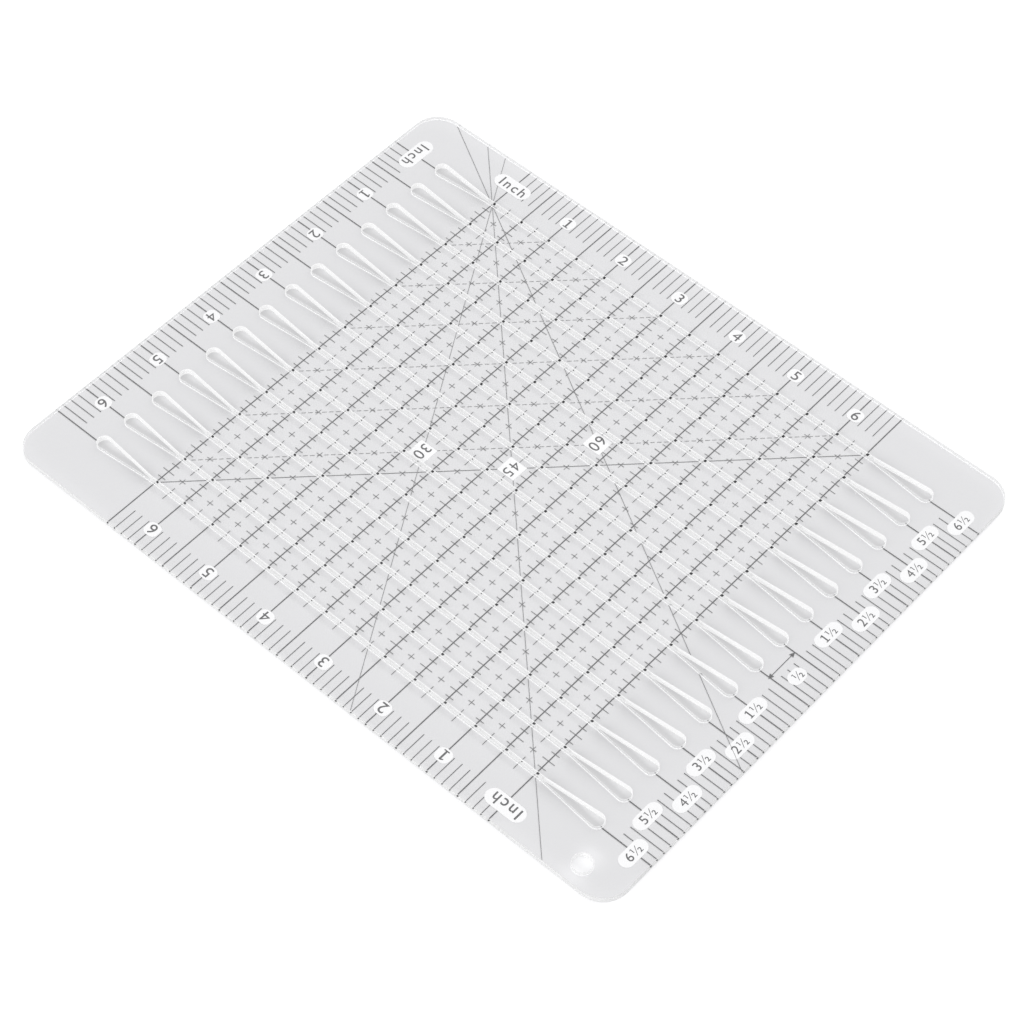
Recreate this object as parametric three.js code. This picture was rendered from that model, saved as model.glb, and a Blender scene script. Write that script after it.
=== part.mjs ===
// Quilting ruler: a clear acrylic plate with fourteen cutting slots, half an
// inch apart, whose ends open into teardrops, and a hanging hole in one corner.
// Opaque white ink patches on the plate's underside carry its scale numbers.
//
// Millimetres, +Z up. The origin is under the centre of the plate, on the
// surface that the ruler lies on. +X runs along the slots, +Y across them.
// u is inches along the slots and v is inches across them, both counted on the
// printed grid from its far left corner: u towards +X, v towards -Y.

import * as THREE from 'three';

// ---------- driving dimensions (mm unless the name says inches) ----------
const INCH = 25.4;
const PLATE_LENGTH = 257.5;      // along the slots
const PLATE_WIDTH = 207.2;       // across the slots
const PLATE_THICKNESS = 2.5;
const PLATE_CORNER_R = 10.0;
const EDGE_BREAK = 0.15;         // broken edge round the outside, top and bottom
const INK_THICKNESS = 0.1;       // white ink patch

const GRID_INCHES = 6.5;         // printed grid, each way
const PRINT_X = -0.66;           // the print sits this far from the middle of the plate
const PRINT_Y = -0.17;
const SLOT_PITCH = INCH / 2;
const SLOT_COUNT = 14;
const SLOT_WIDTH = 1.1;          // straight part, blade width and clearance
const HEAD_R = 2.5;              // round end of a teardrop
const HEAD_INSET = 106.7;        // middle of a slot to the middle of a head, along X
const TAPER_INSET = 85.3;        // middle of a slot to where a taper meets its straight part
const SLOTS_X = -0.23;           // the cut slots sit this far from the middle of the plate
const SLOTS_Y = 0.75;

const HANG_HOLE_R = 3.35;
const HANG_HOLE_X = 113.0;
const HANG_HOLE_Y = -96.0;

const NUMBER_PATCH = [0.218 * INCH, 0.207 * INCH];  // a whole inch number
const NUMBER_PATCH_R = 2.1;
const WORD_PATCH = [0.595 * INCH, 0.242 * INCH];    // the unit's name
const HALF_PATCH = [0.207 * INCH, 0.448 * INCH];    // a number and a half
const HALF_ONLY_PATCH = [0.20 * INCH, 0.275 * INCH]; // one half alone
const ANGLE_PATCH = [0.277 * INCH, 0.272 * INCH];   // an angle in degrees

const FAR_SCALE_V = -0.481;      // inches, where each scale's patches are centred
const NEAR_SCALE_V = 7.0;
const LEFT_SCALE_U = -1.446;
const FAR_WORD = [-0.021, -0.481];
const LEFT_WORD = [-1.43, -0.03];
const NEAR_WORD = [6.514, 7.019];
const RIGHT_OUTER_U = 8.067;     // right scale, patches staggered in two rows
const RIGHT_INNER_U = 7.868;
const RIGHT_HALF = [7.961, 3.245];
const ANGLE_60 = [3.79, 2.15];
const ANGLE_45 = [3.239, 3.205];
const ANGLE_30 = [2.191, 3.778];

const CORNER_STEPS = 12;         // facets in a plate corner
const HEAD_STEPS = 16;           // facets in a teardrop's head
const HOLE_STEPS = 40;
const PATCH_STEPS = 5;           // facets in a patch's corner

// ---------- helpers ----------
const gx = (u) => (u - GRID_INCHES / 2) * INCH + PRINT_X;
const gy = (v) => (GRID_INCHES / 2 - v) * INCH + PRINT_Y;

const arc = (cx, cy, r, from, to, steps) => {
  const pts = [];
  for (let i = 0; i <= steps; i++) {
    const a = from + ((to - from) * i) / steps;
    pts.push(new THREE.Vector2(cx + r * Math.cos(a), cy + r * Math.sin(a)));
  }
  return pts;
};

const roundedOutline = (cx, cy, w, h, r, steps) => {
  const x = w / 2 - r;
  const y = h / 2 - r;
  const q = Math.PI / 2;
  if (r <= 0) {
    return [[-1, -1], [1, -1], [1, 1], [-1, 1]]
      .map(([sx, sy]) => new THREE.Vector2(cx + (sx * w) / 2, cy + (sy * h) / 2));
  }
  const pts = [
    ...arc(cx + x, cy - y, r, -q, 0, steps),
    ...arc(cx + x, cy + y, r, 0, q, steps),
    ...arc(cx - x, cy + y, r, q, 2 * q, steps),
    ...arc(cx - x, cy - y, r, 2 * q, 3 * q, steps),
  ];
  // a pill's neighbouring arcs share their end points
  return pts.filter((p, i) => p.distanceTo(pts[(i + pts.length - 1) % pts.length]) > 1e-4);
};

// One cutting slot: a straight middle, and at each end a taper that widens
// tangentially into a round head.
const slotOutline = (x, y) => {
  const half = SLOT_WIDTH / 2;
  const run = HEAD_INSET - TAPER_INSET;
  const tilt = Math.asin((HEAD_R - half) / run);
  const q = Math.PI / 2;
  return [
    ...arc(x - HEAD_INSET, y, HEAD_R, q - tilt, 3 * q + tilt, HEAD_STEPS),
    new THREE.Vector2(x - TAPER_INSET, y - half),
    new THREE.Vector2(x + TAPER_INSET, y - half),
    ...arc(x + HEAD_INSET, y, HEAD_R, -q - tilt, q + tilt, HEAD_STEPS),
    new THREE.Vector2(x + TAPER_INSET, y + half),
    new THREE.Vector2(x - TAPER_INSET, y + half),
  ];
};

const named = (name, geometry, material, z = 0) => {
  const mesh = new THREE.Mesh(geometry, material.clone());
  mesh.name = name;
  mesh.position.z = z;
  return mesh;
};

// ---------- materials ----------
const acrylic = new THREE.MeshStandardMaterial({
  color: 0xe4e6ea, roughness: 0.08, metalness: 0, transparent: true, opacity: 0.4,
});
const whiteInk = new THREE.MeshStandardMaterial({
  color: 0xf6f6f6, roughness: 0.45, metalness: 0,
});

// ---------- the plate ----------
const outline = new THREE.Shape(
  roundedOutline(0, 0, PLATE_LENGTH, PLATE_WIDTH, PLATE_CORNER_R, CORNER_STEPS),
);
for (let i = 0; i < SLOT_COUNT; i++) {
  const y = SLOTS_Y + (SLOT_PITCH * (SLOT_COUNT - 1)) / 2 - SLOT_PITCH * i;
  outline.holes.push(new THREE.Path(slotOutline(SLOTS_X, y)));
}
outline.holes.push(new THREE.Path(
  arc(HANG_HOLE_X, HANG_HOLE_Y, HANG_HOLE_R, 0, 2 * Math.PI, HOLE_STEPS).slice(0, -1),
));

const plate = named('acrylic_plate', new THREE.ExtrudeGeometry(outline, {
  depth: PLATE_THICKNESS - 2 * EDGE_BREAK,
  bevelEnabled: true,
  bevelThickness: EDGE_BREAK,
  bevelSize: EDGE_BREAK,
  bevelOffset: -EDGE_BREAK,
  bevelSegments: 1,
}), acrylic, INK_THICKNESS + EDGE_BREAK);

// ---------- the ink patches under the plate ----------
const patches = new THREE.Group();
const patch = (name, u, v, size, radius, turned = false) => {
  const [w, h] = turned ? [size[1], size[0]] : size;
  const shape = new THREE.Shape(roundedOutline(gx(u), gy(v), w, h, radius, PATCH_STEPS));
  patches.add(named(name, new THREE.ExtrudeGeometry(shape, {
    depth: INK_THICKNESS, bevelEnabled: false,
  }), whiteInk));
};
const pill = (size) => Math.min(...size) / 2 - 0.02;

patch('far_scale_word', ...FAR_WORD, WORD_PATCH, pill(WORD_PATCH));
patch('left_scale_word', ...LEFT_WORD, WORD_PATCH, pill(WORD_PATCH), true);
patch('near_scale_word', ...NEAR_WORD, WORD_PATCH, pill(WORD_PATCH));
for (let n = 1; n <= 6; n++) {
  patch(`far_scale_${n}`, n, FAR_SCALE_V, NUMBER_PATCH, NUMBER_PATCH_R);
  patch(`left_scale_${n}`, LEFT_SCALE_U, n, NUMBER_PATCH, NUMBER_PATCH_R, true);
  patch(`near_scale_${n}`, 6.5 - n, NEAR_SCALE_V, NUMBER_PATCH, NUMBER_PATCH_R);
}
// The right scale counts outwards from the middle: one half, then one and a
// half to six and a half on each side of it.
patch('right_scale_half', ...RIGHT_HALF, HALF_ONLY_PATCH, pill(HALF_ONLY_PATCH));
for (let n = 1; n <= 6; n++) {
  const u = n % 2 ? RIGHT_INNER_U : RIGHT_OUTER_U;
  patch(`right_scale_far_${n}_half`, u, 3 - n / 2, HALF_PATCH, pill(HALF_PATCH));
  patch(`right_scale_near_${n}_half`, u, 3.5 + n / 2, HALF_PATCH, pill(HALF_PATCH));
}
patch('angle_label_60', ...ANGLE_60, ANGLE_PATCH, 0);
patch('angle_label_45', ...ANGLE_45, ANGLE_PATCH, 0);
patch('angle_label_30', ...ANGLE_30, ANGLE_PATCH, 0);

const ruler = new THREE.Group();
ruler.name = 'quilting_ruler';
ruler.add(plate, patches);

export default ruler;
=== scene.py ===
import math

import bmesh
import bpy
import numpy as np
from mathutils import Matrix, Vector, geometry


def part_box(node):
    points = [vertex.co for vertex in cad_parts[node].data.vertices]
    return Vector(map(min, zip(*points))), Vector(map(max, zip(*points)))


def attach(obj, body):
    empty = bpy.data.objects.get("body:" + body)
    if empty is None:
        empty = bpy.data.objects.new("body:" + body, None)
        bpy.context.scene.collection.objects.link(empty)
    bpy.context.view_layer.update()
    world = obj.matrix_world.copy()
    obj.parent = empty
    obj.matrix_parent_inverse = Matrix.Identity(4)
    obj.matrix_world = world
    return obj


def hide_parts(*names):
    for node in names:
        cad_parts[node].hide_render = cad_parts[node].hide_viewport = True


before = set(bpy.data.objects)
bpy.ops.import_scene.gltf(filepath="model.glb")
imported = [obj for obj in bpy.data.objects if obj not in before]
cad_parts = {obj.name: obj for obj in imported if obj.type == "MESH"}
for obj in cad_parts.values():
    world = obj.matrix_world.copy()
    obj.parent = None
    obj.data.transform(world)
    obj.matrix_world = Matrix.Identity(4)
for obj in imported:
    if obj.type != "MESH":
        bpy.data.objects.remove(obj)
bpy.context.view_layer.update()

MM = 0.001
IN = 25.4

# ---------- sizes, in millimetres in the row frame unless the name says inches ----------
LO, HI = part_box("acrylic_plate")
PLATE_X, PLATE_Y = (HI.x - LO.x) / MM, (HI.y - LO.y) / MM
Z0, Z1 = LO.z / MM, HI.z / MM              # the sheet's underside and upper face
CORNER_R = 10.0
EDGE_R = 0.14
SKIN = 0.012                               # the painted image of the print on a cut wall stands this proud of it
SLOTS = 14
PITCH = 12.7
SLOT_HALF = 0.55
HEAD_R, HEAD_INSET, TAPER_INSET = 2.5, 106.7, 85.3
SLOTS_X, SLOTS_Y = -0.23, 0.75
HOLE = (113.0, -96.0, 3.35)
PRINT_X, PRINT_Y = -0.66, -0.17            # middle of the print
GRID = 6.5                                 # inches
SLOT_V = -0.036                            # inches; the cut slots and the small marks sit this far from the half inches


def px(u):
    return (u - GRID / 2) * IN + PRINT_X


def py(v):
    return (GRID / 2 - v) * IN + PRINT_Y


# ---------- node helpers ----------
def material(name):
    m = bpy.data.materials.new(name)
    m.use_nodes = True
    m.node_tree.nodes.clear()
    return m, m.node_tree


def node(nt, kind, **values):
    n = nt.nodes.new(kind)
    for k, v in values.items():
        if k in n.inputs:
            n.inputs[k].default_value = v
        elif k.replace("_", " ") in n.inputs:
            n.inputs[k.replace("_", " ")].default_value = v
        else:
            setattr(n, k, v)
    return n


def wire(nt, a, b):
    nt.links.new(a, b)
    return b


def span(nt, source, a, b, c, d):
    """source from a..b onto c..d, clamped."""
    n = node(nt, "ShaderNodeMapRange", From_Min=a, From_Max=b, To_Min=c, To_Max=d)
    wire(nt, source, n.inputs["Value"])
    return n.outputs["Result"]


def scaled_coords(nt, scale=(1, 1, 1)):
    tc = node(nt, "ShaderNodeTexCoord")
    mp = node(nt, "ShaderNodeMapping")
    mp.inputs["Scale"].default_value = scale
    wire(nt, tc.outputs["Object"], mp.inputs["Vector"])
    return mp.outputs["Vector"]


def noise(nt, scale, detail=3.0, rough=0.55, stretch=(1, 1, 1)):
    n = node(nt, "ShaderNodeTexNoise", Scale=scale, Detail=detail, Roughness=rough)
    wire(nt, scaled_coords(nt, stretch), n.inputs["Vector"])
    return n.outputs["Fac"]


# ---------- materials ----------
PASS_FACE = (0.656, 0.656, 0.659, 1)       # light that a lamp gets through one face
PAINTED_HAZE_GLOW = 0.094                               # painted glow on the faces: an even emission that stands in for the light a hazy face scatters and reflects
FROST = 0.20                               # cut walls: albedo


def clear_acrylic():
    """The sheet's two faces: polished, with a faint cast wave that only shows in reflections, and an even painted glow
    (emission) added for haze and reflected light.
    """
    m, nt = material("acrylic_face")
    out = node(nt, "ShaderNodeOutputMaterial")
    glass = node(nt, "ShaderNodeBsdfGlass", Roughness=0.0, IOR=1.49)
    glass.inputs["Color"].default_value = (0.992, 0.992, 0.994, 1)
    wave = noise(nt, 9.0, 2.0)
    fine = noise(nt, 900.0, 2.0)
    both = node(nt, "ShaderNodeMath", operation="MULTIPLY_ADD")
    wire(nt, fine, both.inputs[0])
    both.inputs[1].default_value = 0.004
    wire(nt, wave, both.inputs[2])
    bump = node(nt, "ShaderNodeBump", Strength=0.35, Distance=0.00012)
    wire(nt, both.outputs[0], bump.inputs["Height"])
    wire(nt, bump.outputs["Normal"], glass.inputs["Normal"])
    # painted glow: an even emission on both faces, standing in for scattered and reflected light
    painted_haze_glow = node(nt, "ShaderNodeEmission", Strength=PAINTED_HAZE_GLOW)
    painted_haze_glow.inputs["Color"].default_value = (0.99, 0.99, 1.0, 1)
    body = node(nt, "ShaderNodeAddShader")
    wire(nt, glass.outputs[0], body.inputs[0])
    wire(nt, painted_haze_glow.outputs[0], body.inputs[1])
    clear = node(nt, "ShaderNodeBsdfTransparent")
    clear.inputs["Color"].default_value = PASS_FACE
    mix = node(nt, "ShaderNodeMixShader")
    path = node(nt, "ShaderNodeLightPath")
    either = node(nt, "ShaderNodeMath", operation="MAXIMUM")
    wire(nt, path.outputs["Is Shadow Ray"], either.inputs[0])
    wire(nt, path.outputs["Is Diffuse Ray"], either.inputs[1])
    wire(nt, either.outputs[0], mix.inputs[0])
    wire(nt, body.outputs[0], mix.inputs[1])
    wire(nt, clear.outputs[0], mix.inputs[2])
    wire(nt, mix.outputs[0], out.inputs["Surface"])
    m.cycles.emission_sampling = "NONE"
    return m


def cut_edge(name, through, painted_glow_outside, painted_glow_inside, frosted=(0.90, 0.62)):
    """A cut wall: an even pale frosting with faint upright striations, over a little clear depth.
    through is the share of a lamp's light that it passes; the glow is a painted glow, an emission that stands in for
    the light that the sheet carries to the wall;
    frosted is the frosted share, seen from outside and from inside the sheet."""
    m, nt = material(name)
    out = node(nt, "ShaderNodeOutputMaterial")
    ribs = noise(nt, 2600.0, 2.0, 0.5, stretch=(1, 1, 0.06))
    bump = node(nt, "ShaderNodeBump", Strength=0.25, Distance=0.000004)
    wire(nt, ribs, bump.inputs["Height"])
    glass = node(nt, "ShaderNodeBsdfGlass", Roughness=0.08, IOR=1.49)
    glass.inputs["Color"].default_value = (0.99, 0.99, 0.992, 1)
    tint = node(nt, "ShaderNodeMix", data_type="RGBA")
    tint.inputs[6].default_value = (*[FROST * 0.975] * 3, 1)
    tint.inputs[7].default_value = (*[FROST * 1.02] * 3, 1)
    wire(nt, noise(nt, 700.0, 3.0, 0.6, stretch=(1, 1, 0.1)), tint.inputs[0])
    frost = node(nt, "ShaderNodeBsdfDiffuse", Roughness=0.0)
    wire(nt, tint.outputs[2], frost.inputs["Color"])
    wire(nt, bump.outputs["Normal"], frost.inputs["Normal"])
    side = node(nt, "ShaderNodeNewGeometry")
    # painted glow: an emission on the cut wall standing in for light carried inside the sheet, set apart for the
    # outside and the inside
    painted_glow = node(nt, "ShaderNodeEmission")
    painted_glow.inputs["Color"].default_value = (0.995, 0.995, 1.0, 1)
    wire(nt, span(nt, side.outputs["Backfacing"], 0, 1, painted_glow_outside, painted_glow_inside), painted_glow.inputs["Strength"])
    lit = node(nt, "ShaderNodeAddShader")
    wire(nt, frost.outputs[0], lit.inputs[0])
    wire(nt, painted_glow.outputs[0], lit.inputs[1])
    body = node(nt, "ShaderNodeMixShader")
    wire(nt, span(nt, side.outputs["Backfacing"], 0, 1, *frosted), body.inputs[0])
    wire(nt, glass.outputs[0], body.inputs[1])
    wire(nt, lit.outputs[0], body.inputs[2])
    clear = node(nt, "ShaderNodeBsdfTransparent")
    clear.inputs["Color"].default_value = (through, through, through * 1.003, 1)
    mix = node(nt, "ShaderNodeMixShader")
    path = node(nt, "ShaderNodeLightPath")
    either = node(nt, "ShaderNodeMath", operation="MAXIMUM")
    wire(nt, path.outputs["Is Shadow Ray"], either.inputs[0])
    wire(nt, path.outputs["Is Diffuse Ray"], either.inputs[1])
    wire(nt, either.outputs[0], mix.inputs[0])
    wire(nt, body.outputs[0], mix.inputs[1])
    wire(nt, clear.outputs[0], mix.inputs[2])
    wire(nt, mix.outputs[0], out.inputs["Surface"])
    m.cycles.emission_sampling = "NONE"
    return m


def ink(name, dark, light, specks, gloss, painted_ink_glow=0.0):
    """Screen printed ink: a slightly uneven film with a fine mottle, with painted_ink_glow an even painted glow
    (emission) that brightens it beyond its lighting.
    """
    m, nt = material(name)
    m.cycles.emission_sampling = "NONE"
    out = node(nt, "ShaderNodeOutputMaterial")
    p = node(nt, "ShaderNodeBsdfPrincipled", Roughness=gloss)
    p.inputs["Emission Color"].default_value = (1, 1, 1, 1)
    p.inputs["Emission Strength"].default_value = painted_ink_glow
    p.inputs["Specular IOR Level"].default_value = 0.3
    tint = node(nt, "ShaderNodeMix", data_type="RGBA")
    tint.inputs[6].default_value = (*dark, 1)
    tint.inputs[7].default_value = (*light, 1)
    wire(nt, span(nt, noise(nt, specks, 4.0, 0.6), 0.3, 0.7, 0.0, 1.0), tint.inputs[0])
    wire(nt, tint.outputs[2], p.inputs["Base Color"])
    wire(nt, span(nt, noise(nt, specks * 0.4, 3.0), 0.3, 0.7, gloss - 0.06, gloss + 0.08), p.inputs["Roughness"])
    bump = node(nt, "ShaderNodeBump", Strength=0.3, Distance=0.000004)
    wire(nt, noise(nt, specks * 1.7, 3.0), bump.inputs["Height"])
    wire(nt, bump.outputs["Normal"], p.inputs["Normal"])
    wire(nt, p.outputs[0], out.inputs["Surface"])
    return m


FACE = clear_acrylic()
# the third and fourth numbers set each cut wall's painted glow; the lips, the rounded rows along the cut edges, glow
# more as a painted highlight
RIM = cut_edge("acrylic_rim", 0.72, 0.50, 0.62)
SLOT_WALL = cut_edge("acrylic_slot_wall", 0.90, 0.62, 0.62, (0.90, 0.34))
SLOT_LIP = cut_edge("acrylic_slot_lip", 0.90, 0.74, 0.74, (0.94, 0.85))
SLOT_END = cut_edge("acrylic_slot_end", 0.64, 0.71, 0.62, (0.94, 0.22))
END_LIP = cut_edge("acrylic_slot_end_lip", 0.64, 0.78, 0.78, (0.94, 0.85))
BORE = cut_edge("acrylic_bore", 0.97, 0.66, 0.64)
# the white ink gets a faint painted glow, 0.02, that makes it brighter than its lighting gives
WHITE = ink("ink_white", (0.93, 0.93, 0.932), (0.965, 0.965, 0.966), 1800.0, 0.5, 0.02)
BLACK = ink("ink_black", (0.018, 0.018, 0.02), (0.035, 0.035, 0.038), 2600.0, 0.42)
FINE = ink("ink_black_fine", (0.035, 0.035, 0.038), (0.07, 0.07, 0.074), 2600.0, 0.42)


def piece(name, mesh, slot_name, *materials):
    o = bpy.data.objects.new(name, mesh)
    bpy.context.scene.collection.objects.link(o)
    for m in materials:
        o.data.materials.append(m)
    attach(o, "root")
    return o


# ---------- the plate ----------
def arc(cx, cy, r, a, b, n):
    return [(cx + r * math.cos(a + (b - a) * i / n), cy + r * math.sin(a + (b - a) * i / n)) for i in range(n + 1)]


def rounded(cx, cy, w, h, r, n):
    x, y, q = w / 2 - r, h / 2 - r, math.pi / 2
    p = (arc(cx + x, cy - y, r, -q, 0, n) + arc(cx + x, cy + y, r, 0, q, n)
         + arc(cx - x, cy + y, r, q, 2 * q, n) + arc(cx - x, cy - y, r, 2 * q, 3 * q, n))
    return [a for i, a in enumerate(p) if math.dist(a, p[i - 1]) > 1e-4]


def slot_outline(y, grow=0.0):
    """Anticlockwise round one slot, grown outwards by grow."""
    tilt = math.asin((HEAD_R - SLOT_HALF) / (HEAD_INSET - TAPER_INSET))
    q, r, h = math.pi / 2, HEAD_R + grow, SLOT_HALF + grow
    t = TAPER_INSET + grow * math.tan(tilt / 2)
    mid = [SLOTS_X - t + 2 * t * i / 26 for i in range(27)]
    return (arc(SLOTS_X - HEAD_INSET, y, r, q - tilt, 3 * q + tilt, 36)
            + [(x, y - h) for x in mid]
            + arc(SLOTS_X + HEAD_INSET, y, r, -q - tilt, q + tilt, 36)
            + [(x, y + h) for x in reversed(mid)])


def slot_y(i):
    return SLOTS_Y + PITCH * (SLOTS - 1) / 2 - PITCH * i


def plate_mesh():
    """The sheet with every cut edge rounded over by EDGE_R, in rings from the underside to the upper face."""
    def loops(inset):
        out = [rounded(0, 0, PLATE_X - 2 * (SKIN + inset), PLATE_Y - 2 * (SKIN + inset), CORNER_R - SKIN - inset, 28)]
        out += [slot_outline(slot_y(i), inset)[::-1] for i in range(SLOTS)]
        out += [arc(HOLE[0], HOLE[1], HOLE[2] + inset, 0, 2 * math.pi, 96)[:-1][::-1]]
        return out

    steps = 4
    turn = [math.pi / 2 * i / steps for i in range(steps + 1)]
    levels = [(Z0 + EDGE_R * (1 - math.sin(a)), EDGE_R * (1 - math.cos(a))) for a in reversed(turn)]
    levels += [(Z1 - EDGE_R * (1 - math.sin(a)), EDGE_R * (1 - math.cos(a))) for a in turn]
    verts, rings = [], []
    for z, inset in levels:
        ring = []
        for loop in loops(inset):
            ring.append(range(len(verts), len(verts) + len(loop)))
            verts += [(x * MM, y * MM, z * MM) for x, y in loop]
        rings.append(ring)
    faces, cut = [], []                      # cut: which wall a face is in, 0 on the flat faces
    for level, (lower, upper) in enumerate(zip(rings, rings[1:])):
        straight, end = (2, 3) if level == steps else (6, 5)
        for k, (a, b) in enumerate(zip(lower, upper)):
            n = len(a)
            for i in range(n):
                j = (i + 1) % n
                faces.append((a[i], a[j], b[j], b[i]))
                middle = (verts[a[i]][0] + verts[a[j]][0]) / 2 / MM
                cut.append(1 if k == 0 else 4 if k == SLOTS + 1 else straight if abs(middle - SLOTS_X) < TAPER_INSET else end)
    for ring, top in ((rings[0], False), (rings[-1], True)):
        flat = [k for loop in ring for k in loop]
        tris = geometry.tessellate_polygon([[Vector(verts[k]) for k in loop] for loop in ring])
        for t in tris:
            a, b, c = (Vector(verts[flat[k]]) for k in t)
            n = (b - a).cross(c - a)
            if n.length < 1e-16:
                continue
            t = t if (n.z > 0) == top else t[::-1]
            faces.append(tuple(flat[k] for k in t))
            cut.append(0)
    mesh = bpy.data.meshes.new("plate")
    mesh.from_pydata(verts, [], faces)
    mesh.update()
    mesh.polygons.foreach_set("use_smooth", [k > 0 for k in cut])
    mesh.polygons.foreach_set("material_index", cut)
    mesh.validate()
    return mesh


plate = piece("acrylic_sheet", plate_mesh(), "clear_acrylic", FACE, RIM, SLOT_WALL, SLOT_END, BORE, END_LIP, SLOT_LIP)
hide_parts("acrylic_plate")

# ---------- the white patches ----------
PATCH_TOP = Z0 + 0.012
INK_LOW = 0.02


def slab(outline, z0, z1):
    """A closed flat slab from an anticlockwise outline, as (verts, faces)."""
    n = len(outline)
    verts = [(x * MM, y * MM, z0 * MM) for x, y in outline] + [(x * MM, y * MM, z1 * MM) for x, y in outline]
    faces = [tuple(range(n - 1, -1, -1)), tuple(range(n, 2 * n))]
    faces += [(i, (i + 1) % n, n + (i + 1) % n, n + i) for i in range(n)]
    return verts, faces


def join(parts):
    verts, faces = [], []
    for v, f in parts:
        k = len(verts)
        verts += v
        faces += [tuple(i + k for i in face) for face in f]
    return verts, faces


def mesh_of(name, verts, faces):
    mesh = bpy.data.meshes.new(name)
    mesh.from_pydata(verts, [], faces)
    mesh.update()
    return mesh


ROUND = {"word": 0.241, "half": 0.206, "number": 0.1654, "angle": 0.0}   # inches across a patch's round ends
PATCHES = {}                                # name: the kind of patch
for side in ("far", "left", "near"):
    PATCHES[side + "_scale_word"] = "word"
    for n in range(1, 7):
        PATCHES[f"{side}_scale_{n}"] = "number"
PATCHES["right_scale_half"] = "half"
for n in range(1, 7):
    PATCHES[f"right_scale_far_{n}_half"] = PATCHES[f"right_scale_near_{n}_half"] = "half"
for degrees in (60, 45, 30):
    PATCHES[f"angle_label_{degrees}"] = "angle"
SPOTS = {}                                  # name: centre, half size and corner radius in millimetres

for name in sorted(PATCHES):
    lo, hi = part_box(name)
    w, h = (hi.x - lo.x) / MM, (hi.y - lo.y) / MM
    c = ((lo.x + hi.x) / 2 / MM, (lo.y + hi.y) / 2 / MM)
    r = min(ROUND[PATCHES[name]] / 2 * IN, min(w, h) / 2 - 0.02) or 0.06
    SPOTS[name] = (*c, w / 2, h / 2, r)
    outline = rounded(*c, w, h, r, 14 if r > 1 else 3)
    p = piece("patch_" + name, mesh_of(name, *slab(outline, INK_LOW, PATCH_TOP)), "white_ink", WHITE)
    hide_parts(name)

# ---------- the printed lines ----------
MAIN, TICK, THIN, HAIR = 0.40, 0.27, 0.19, 0.14   # line widths
D = SLOT_V + 0.001
lines = []                                  # (group, u0, v0, u1, v1, width)
for i in range(14):
    lines.append(("grid_lines", 0.5 * i - 0.0075, -0.90, 0.5 * i - 0.0075, 7.40, MAIN))
for k in range(53):
    if k % 4:
        lines += [("edge_ticks", k / 8, -0.90, k / 8, -0.36, TICK), ("edge_ticks", k / 8, 7.40, k / 8, 6.94, TICK),
                  ("edge_ticks", -1.90, k / 8, -1.36, k / 8, TICK), ("edge_ticks", 7.81, k / 8, 8.395, k / 8, TICK)]
    else:
        lines += [("side_lines", -1.90, k / 8 - 0.012, -0.98, k / 8 - 0.012, MAIN), ("side_lines", 7.50, k / 8 - 0.012, 8.395, k / 8 - 0.012, MAIN)]
for i in range(14):
    for j in range(13):
        for o, length in ((0.125, 0.128), (0.25, 0.195), (0.375, 0.128)):
            lines.append(("cross_ticks", 0.5 * i - 0.0075 - length / 2, 0.5 * j + o + D, 0.5 * i - 0.0075 + length / 2, 0.5 * j + o + D, TICK - 0.07))
for i in range(13):
    u = 0.25 + 0.5 * i - 0.006
    for j in range(13):
        v = 0.25 + 0.5 * j + D
        lines += [("quarter_marks", u - 0.052, v, u + 0.052, v, THIN), ("quarter_marks", u, v - 0.052, u, v + 0.052, THIN)]
    for j in range(14):
        lines.append(("quarter_marks", u, 0.5 * j - 0.145, u, 0.5 * j + 0.075, THIN + 0.04))
for s in range(1, 7):
    m = int(s * math.sqrt(2) / 0.09)
    for q in range(m):
        a, b = (q + 0.17) * s / m, (q + 0.83) * s / m
        lines.append(("diagonals", s - a, a + D, s - b, b + D, THIN - 0.025))
lines.append(("diagonals", 6.5, D - 0.02, 0, 6.5 + D - 0.02, THIN + 0.05))
t30 = math.tan(math.radians(30))
lines.append(("angle_lines", -0.785, -0.785 + D, 7.40, 7.40 + D, HAIR))
lines.append(("angle_lines", -1.36, -1.36 * t30 + D, 8.42, 8.42 * t30 + D, HAIR))
lines.append(("angle_lines", -0.785 * t30, -0.785 + D, 7.40 * t30, 7.40 + D, HAIR))
lines.append(("half_inch_arrow", 7.72, 3.035, 7.72, 3.465, TICK))


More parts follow.
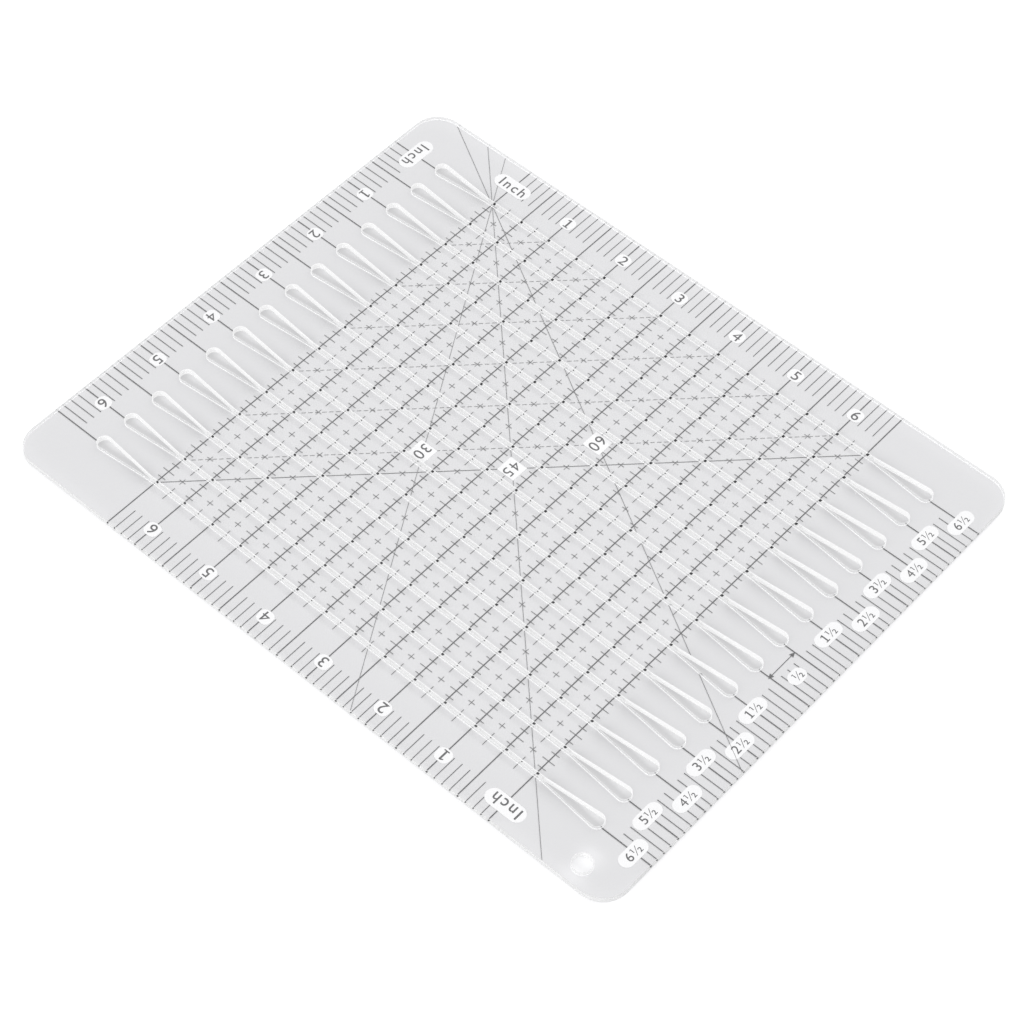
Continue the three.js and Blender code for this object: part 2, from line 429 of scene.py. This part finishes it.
def allowed(group, x, y):
    """Where the ink may be: on the sheet, clear of the slots, the hole and the patches."""
    ok = np.ones(len(x), bool)
    hx, hy, r = PLATE_X / 2 - EDGE_R, PLATE_Y / 2 - EDGE_R, CORNER_R - EDGE_R
    ax, ay = np.abs(x), np.abs(y)
    ok &= (ax < hx) & (ay < hy)
    dx, dy = np.maximum(ax - hx + r, 0), np.maximum(ay - hy + r, 0)
    ok &= dx * dx + dy * dy < r * r
    ok &= (x - HOLE[0]) ** 2 + (y - HOLE[1]) ** 2 > (HOLE[2] + EDGE_R) ** 2
    i = np.clip(np.round((slot_y(0) - y) / PITCH), 0, SLOTS - 1)
    sy, sx = np.abs(y - (slot_y(0) - PITCH * i)), np.abs(x - SLOTS_X)
    g = EDGE_R
    tilt = math.asin((HEAD_R - SLOT_HALF) / (HEAD_INSET - TAPER_INSET))
    half = np.where(sx < TAPER_INSET, SLOT_HALF + g, SLOT_HALF + g + (sx - TAPER_INSET) * math.tan(tilt))
    ok &= ~(((sx < HEAD_INSET) & (sy < half)) | ((sx - HEAD_INSET) ** 2 + sy ** 2 < (HEAD_R + g) ** 2))
    for name, (cx, cy, w, h, r) in SPOTS.items():
        if group == "angle_lines" and name == "right_scale_near_2_half":
            continue
        qx, qy = np.abs(x - cx) - w + r, np.abs(y - cy) - h + r
        ok &= ~((qx < r) & (qy < r) & (np.maximum(qx, 0) ** 2 + np.maximum(qy, 0) ** 2 < r * r))
    return ok


def stroke(x0, y0, x1, y1, w, z0, z1):
    """A thin closed bar from one point to the other."""
    d = Vector((x1 - x0, y1 - y0))
    s = Vector((-d.y, d.x)).normalized() * (w / 2)
    return slab([(x0 - s.x, y0 - s.y), (x1 - s.x, y1 - s.y), (x1 + s.x, y1 + s.y), (x0 + s.x, y0 + s.y)], z0, z1)


TOPS = {"grid_lines": 0.0100, "side_lines": 0.0100, "edge_ticks": 0.0095, "cross_ticks": 0.0090, "quarter_marks": 0.0085,
        "diagonals": 0.0080, "angle_lines": 0.0170, "half_inch_arrow": 0.0090}
groups = {}
for group, u0, v0, u1, v1, w in lines:
    x0, y0, x1, y1 = px(u0), py(v0), px(u1), py(v1)
    n = max(2, int(math.hypot(x1 - x0, y1 - y0) / 0.05))
    f = np.linspace(0, 1, n + 1)
    ok = allowed(group, x0 + (x1 - x0) * f, y0 + (y1 - y0) * f)
    k = 0
    while k <= n:
        if not ok[k]:
            k += 1
            continue
        e = k
        while e < n and ok[e + 1]:
            e += 1
        if (f[e] - f[k]) * math.hypot(x1 - x0, y1 - y0) > 0.2:
            groups.setdefault(group, []).append(stroke(
                x0 + (x1 - x0) * f[k], y0 + (y1 - y0) * f[k], x0 + (x1 - x0) * f[e], y0 + (y1 - y0) * f[e],
                w, Z0 - 0.03, Z0 + TOPS[group]))
        k = e + 1
for tip, way in ((2.985, 1), (3.515, -1)):   # the arrow's solid heads
    base = tip + way * 0.075
    x, half = px(7.72), 0.034 * IN
    tri = [(x, py(tip)), (x - half * way, py(base)), (x + half * way, py(base))]
    area = sum(a[0] * b[1] - b[0] * a[1] for a, b in zip(tri, tri[1:] + tri[:1]))
    groups["half_inch_arrow"].append(slab(tri if area > 0 else tri[::-1], Z0 - 0.03, Z0 + TOPS["half_inch_arrow"]))
for group, parts in groups.items():
    fine = group in ("cross_ticks", "quarter_marks", "diagonals", "angle_lines")
    piece("print_" + group, mesh_of(group, *join(parts)), "black_ink", FINE if fine else BLACK)


# painted reflection: dark marks on the cut walls that face +X and -Y, where the ends of the printed lines show
# refracted and mirrored through the wall
WALL_LOW, WALL_HIGH = 0.90, 2.51


def wall_mark(x, y, w, z0, z1, lean, along):
    """A thin upright dark mark on a wall at x, y that runs along X (facing -Y) or along Y (facing +X), painted where a
    line end shows through the wall.
    """
    a, b = (x - w / 2, x + w / 2) if along == "x" else (y - w / 2, y + w / 2)
    corners = [(a, z0), (b, z0), (b + lean, z1), (a + lean, z1)]
    if along == "x":
        verts = [(p, y - SKIN, q) for p, q in corners] + [(p, y + 0.05, q) for p, q in corners]
    else:
        verts = [(x + SKIN, p, q) for p, q in corners] + [(x - 0.05, p, q) for p, q in corners]
    faces = [(0, 1, 2, 3), (7, 6, 5, 4)] + [(i, i + 4, (i + 1) % 4 + 4, (i + 1) % 4) for i in range(4)]
    return [tuple(c * MM for c in v) for v in verts], faces


marks = []
for i in range(SLOTS):
    y = slot_y(i) + SLOT_HALF
    for k in range(14):
        marks.append(wall_mark(px(0.5 * k) + 0.12, y, 0.92, WALL_LOW, WALL_HIGH, 0.76, "x"))
    for k in range(13):
        marks.append(wall_mark(px(0.25 + 0.5 * k) + 0.15, y, 0.42, 1.15, 1.85, 0.33, "x"))
for k in range(53):
    w = 0.45 if k % 4 else 0.65
    marks.append(wall_mark(px(k / 8) + 0.15, -PLATE_Y / 2 + SKIN, w, 1.25, 2.44, 0.56, "x"))
    marks.append(wall_mark(PLATE_X / 2 - SKIN, py(k / 8 - (0 if k % 4 else 0.012)) - 0.22, w + 0.15, 1.15, 2.44, -0.67, "y"))
# these marks are a painted reflection of the print, put on the walls in black ink
piece("painted_line_end_images", mesh_of("line_ends", *join(marks)), "black_ink", BLACK)

# ---------- the numbers ----------
FLAG = [(0.075, 1.0), (-0.03, 1.0), (-0.25, 0.885), (-0.25, 0.765), (-0.06, 0.85)]
ONE = [(-0.24, 0), (0.28, 0), (0.28, 0.11), (0.095, 0.11), (0.095, 1.0)] + FLAG[1:-1] + [(-0.075, 0.85), (-0.075, 0.11), (-0.24, 0.11)]
SMALL_ONE = [(-0.07, 0), (0.075, 0)] + FLAG


def drawn(outline, height, wide=1.0):
    """A digit from its own outline, one cap high, centred on its own middle, as (points, faces)."""
    pts = np.array(outline)
    lo, hi = pts.min(0), pts.max(0)
    return (pts - (lo + hi) / 2) * (height * wide, height), [tuple(range(len(pts)))]


def glyphs(text, height, wide=1.0, weight=0.0, tracking=1.0):
    """A line of text as a flat mesh centred on its own middle, as (points, faces) in millimetres."""
    cu = bpy.data.curves.new("text", "FONT")
    cu.body = text
    cu.size = 1.0
    cu.space_character = tracking
    cu.resolution_u = 6
    cu.offset = weight
    ob = bpy.data.objects.new("text", cu)
    bpy.context.scene.collection.objects.link(ob)
    bpy.context.view_layer.update()
    me = bpy.data.meshes.new_from_object(ob.evaluated_get(bpy.context.evaluated_depsgraph_get()))
    pts = np.array([v.co[:2] for v in me.vertices])
    faces = [tuple(p.vertices) for p in me.polygons]
    bpy.data.objects.remove(ob)
    bpy.data.curves.remove(cu)
    bpy.data.meshes.remove(me)
    lo, hi = pts.min(0), pts.max(0)
    k = height / (CAP[0])
    pts = (pts - (lo + hi) / 2) * (k * wide, k)
    return pts, faces


def cap_height():
    cu = bpy.data.curves.new("text", "FONT")
    cu.body = "I"
    cu.size = 1.0
    ob = bpy.data.objects.new("text", cu)
    bpy.context.scene.collection.objects.link(ob)
    bpy.context.view_layer.update()
    me = bpy.data.meshes.new_from_object(ob.evaluated_get(bpy.context.evaluated_depsgraph_get()))
    ys = [v.co.y for v in me.vertices]
    bpy.data.objects.remove(ob)
    bpy.data.curves.remove(cu)
    bpy.data.meshes.remove(me)
    return [max(ys) - min(ys)]


CAP = cap_height()


def raised(name, shapes, z0, z1):
    """One closed mesh from flat shapes: each is (points, faces), lifted from z0 to z1."""
    bm = bmesh.new()
    for pts, faces in shapes:
        vs = [bm.verts.new((x * MM, y * MM, z0 * MM)) for x, y in pts]
        fs = []
        for f in faces:
            try:
                fs.append(bm.faces.new([vs[i] for i in f]))
            except ValueError:
                pass
        bmesh.ops.remove_doubles(bm, verts=vs, dist=1e-7)
    bmesh.ops.dissolve_degenerate(bm, edges=bm.edges[:], dist=1e-8)
    bmesh.ops.recalc_face_normals(bm, faces=bm.faces[:])
    for f in bm.faces:
        if f.normal.z > 0:
            f.normal_flip()
    made = bmesh.ops.extrude_face_region(bm, geom=bm.faces[:], use_keep_orig=True)
    top = [g for g in made["geom"] if isinstance(g, bmesh.types.BMVert)]
    bmesh.ops.translate(bm, verts=top, vec=(0, 0, (z1 - z0) * MM))
    bmesh.ops.recalc_face_normals(bm, faces=bm.faces[:])
    mesh = bpy.data.meshes.new(name)
    bm.to_mesh(mesh)
    bm.free()
    return mesh


def put(shape, x, y, turn):
    """A glyph shape turned by turn degrees, anticlockwise, and centred on x, y."""
    pts, faces = shape
    a = math.radians(turn)
    r = np.array([[math.cos(a), math.sin(a)], [-math.sin(a), math.cos(a)]])
    return pts @ r + (x, y), faces


def shift(shape, dx, dy):
    return shape[0] + (dx, dy), shape[1]


NUM_H, NUM_W = 3.74, 1.06
SMALL_H = 3.08
BOLD = {n: 0.0 if n == 4 else 0.006 for n in range(2, 7)}
whole = {n: glyphs(str(n), NUM_H + (0.2 if n == 4 else 0.06), NUM_W + 0.02, BOLD[n]) for n in range(2, 7)}
whole[1] = drawn(ONE, NUM_H + 0.25, 1.02)
word = glyphs("Inch", 3.90, 0.97, 0.011, 1.24)


def fraction():
    """A one half, its digits either side of a slanting bar, centred on its own middle."""
    one, two = drawn(SMALL_ONE, 1.70, 1.32), glyphs("2", 1.66, 1.12, 0.018)
    a, b = np.array((-1.05, -1.52)), np.array((0.87, 1.52))
    s = np.array((0.125, 0.0))
    bar = (np.array([a - s, a + s, b + s, b - s]), [(0, 1, 2, 3)])
    return [shift(one, -1.24, 0.76), bar, shift(two, 1.10, -0.68)]


def spot(name, dx=0.0, dy=0.0):
    """The middle of a patch, moved by so much, in millimetres."""
    return SPOTS[name][0] + dx, SPOTS[name][1] + dy


half = fraction()
digits = {n: glyphs(str(n), SMALL_H, 1.04, BOLD[n]) for n in range(2, 7)}
digits[1] = drawn(ONE, SMALL_H + 0.06, 1.02)
shapes = {"scale_numbers": [], "half_inch_numbers": [], "angle_numbers": []}
for n in range(1, 7):
    aside = 0.0 if n == 4 else 0.15          # the digits sit a little past the middle of their patches
    shapes["scale_numbers"] += [put(whole[n], *spot(f"far_scale_{n}", aside), 0),
                                put(whole[n], *spot(f"left_scale_{n}", 0, -aside), -90),
                                put(whole[n], *spot(f"near_scale_{n}", -aside), 180)]
    label = [shift(digits[n], -1.84, 0)] + [shift(h, 1.35, 0) for h in half]
    for side in ("far", "near"):
        shapes["half_inch_numbers"] += [put(p, *spot(f"right_scale_{side}_{n}_half"), 90) for p in label]
shapes["scale_numbers"] += [put(word, *spot("far_scale_word", 0.34), 0), put(word, *spot("left_scale_word", 0, -0.38), -90),
                            put(word, *spot("near_scale_word", 0.22), 180)]
shapes["half_inch_numbers"] += [put(p, *spot("right_scale_half", 0, 0.33), 90) for p in half]
for degrees in (60, 45, 30):
    shapes["angle_numbers"].append(put(glyphs(str(degrees), 3.96, 1.0, 0.0 if degrees == 45 else 0.005, 1.17), *spot(f"angle_label_{degrees}", 0, -0.12), -90))
for name, parts in shapes.items():
    piece("print_" + name, raised(name, parts, Z0 - 0.002, Z0 + 0.02), "black_ink", BLACK)

# ---------- floor, light and camera ----------
bm = bmesh.new()
bmesh.ops.create_grid(bm, x_segments=8, y_segments=8, size=4.0)
floor_mesh = bpy.data.meshes.new("floor")
bm.to_mesh(floor_mesh)
bm.free()
floor = bpy.data.objects.new("floor", floor_mesh)
bpy.context.scene.collection.objects.link(floor)
fm, nt = material("floor_white")
out = node(nt, "ShaderNodeOutputMaterial")
fd = node(nt, "ShaderNodeBsdfDiffuse", Roughness=0.0)
fd.inputs["Color"].default_value = (0.93, 0.93, 0.935, 1)
away = node(nt, "ShaderNodeVectorMath", operation="LENGTH")
wire(nt, scaled_coords(nt), away.inputs[0])
lift = node(nt, "ShaderNodeEmission")        # keeps the floor pale where the softboxes no longer reach
wire(nt, span(nt, away.outputs["Value"], 0.45, 1.5, 0.0, 0.8), lift.inputs["Strength"])
whole_floor = node(nt, "ShaderNodeAddShader")
wire(nt, fd.outputs[0], whole_floor.inputs[0])
wire(nt, lift.outputs[0], whole_floor.inputs[1])
wire(nt, whole_floor.outputs[0], out.inputs["Surface"])
fm.cycles.emission_sampling = "NONE"
floor.data.materials.append(fm)


def area_light(name, at, towards, size, power):
    d = bpy.data.lights.new(name, "AREA")
    d.shape = "RECTANGLE"
    d.size, d.size_y = size
    d.energy = power
    o = bpy.data.objects.new(name, d)
    bpy.context.scene.collection.objects.link(o)
    o.location = at
    o.rotation_mode = "QUATERNION"
    o.rotation_quaternion = (Vector(towards) - Vector(at)).to_track_quat("-Z", "Y")
    return o


def softbox(name, azimuth, elevation, distance, size, radiance):
    """A softbox of that radiance; azimuth anticlockwise from +X, in degrees."""
    a, e = math.radians(azimuth), math.radians(elevation)
    at = Vector((math.cos(a) * math.cos(e), math.sin(a) * math.cos(e), math.sin(e))) * distance
    box = area_light(name, at, (0, 0, 0), size, radiance * size[0] * size[1] * math.pi)
    box.visible_glossy = box.visible_transmission = False
    return box


softbox("softbox_near", -90, 30, 1.7, (2.6, 0.7), 7.0)
softbox("softbox_far", 90, 30, 1.7, (2.6, 0.7), 7.0)

world = bpy.data.worlds.new("studio")
bpy.context.scene.world = world
world.use_nodes = True
wt = world.node_tree
wt.nodes.clear()
wout = node(wt, "ShaderNodeOutputWorld")
soft = node(wt, "ShaderNodeBackground", Strength=0.36)
soft.inputs["Color"].default_value = (0.99, 0.99, 1.0, 1)
bright = node(wt, "ShaderNodeBackground", Strength=1.0)
bright.inputs["Color"].default_value = (0.995, 0.995, 1.0, 1)
wpath = node(wt, "ShaderNodeLightPath")
overhead = node(wt, "ShaderNodeBackground")  # what the sheet mirrors: bright above, dimmer towards the horizon
sky = node(wt, "ShaderNodeTexCoord")
parts = node(wt, "ShaderNodeSeparateXYZ")
wire(wt, sky.outputs["Generated"], parts.inputs[0])
wire(wt, span(wt, parts.outputs["Z"], 0.08, 0.55, 0.35, 1.35), overhead.inputs["Strength"])
overhead.inputs["Color"].default_value = (0.995, 0.995, 1.0, 1)
seen = node(wt, "ShaderNodeMixShader")
wire(wt, wpath.outputs["Is Reflection Ray"], seen.inputs[0])
wire(wt, bright.outputs[0], seen.inputs[1])
wire(wt, overhead.outputs[0], seen.inputs[2])
wmix = node(wt, "ShaderNodeMixShader")
wire(wt, wpath.outputs["Is Diffuse Ray"], wmix.inputs[0])
wire(wt, seen.outputs[0], wmix.inputs[1])
wire(wt, soft.outputs[0], wmix.inputs[2])
wire(wt, wmix.outputs[0], wout.inputs["Surface"])
world.cycles.sampling_method = "NONE"

# a pinhole camera fitted to the printed grid: rotation and place in the print's own frame
FOCAL = 2918.84 * 36 / 1024
RV = Vector((2.36298558, 0.90340732, -0.275504721))
T = Vector((-7.52652342, -107.391625, 1026.66413))
R = Matrix.Rotation(RV.length, 3, RV.normalized())
PRINT_PLANE = Z0 + 1.06                    # where the print appears, seen through the sheet
centre = -(R.transposed() @ T) + Vector((-(GRID / 2) * IN + PRINT_X, GRID / 2 * IN + PRINT_Y, PRINT_PLANE))
cam_data = bpy.data.cameras.new("camera")
cam_data.sensor_width = 36
cam_data.lens = FOCAL
cam_data.clip_start, cam_data.clip_end = 0.05, 50
cam = bpy.data.objects.new("camera", cam_data)
bpy.context.scene.collection.objects.link(cam)
turn = (R.transposed() @ Matrix(((1, 0, 0), (0, -1, 0), (0, 0, -1)))).to_4x4()
cam.matrix_world = Matrix.Translation(centre * MM) @ turn
scene = bpy.context.scene
scene.camera = cam
scene.view_settings.view_transform = "Standard"
scene.view_settings.look = "None"
scene.cycles.max_bounces = 32
scene.cycles.transmission_bounces = 32
scene.cycles.transparent_max_bounces = 64
scene.cycles.glossy_bounces = 12
scene.cycles.diffuse_bounces = 3
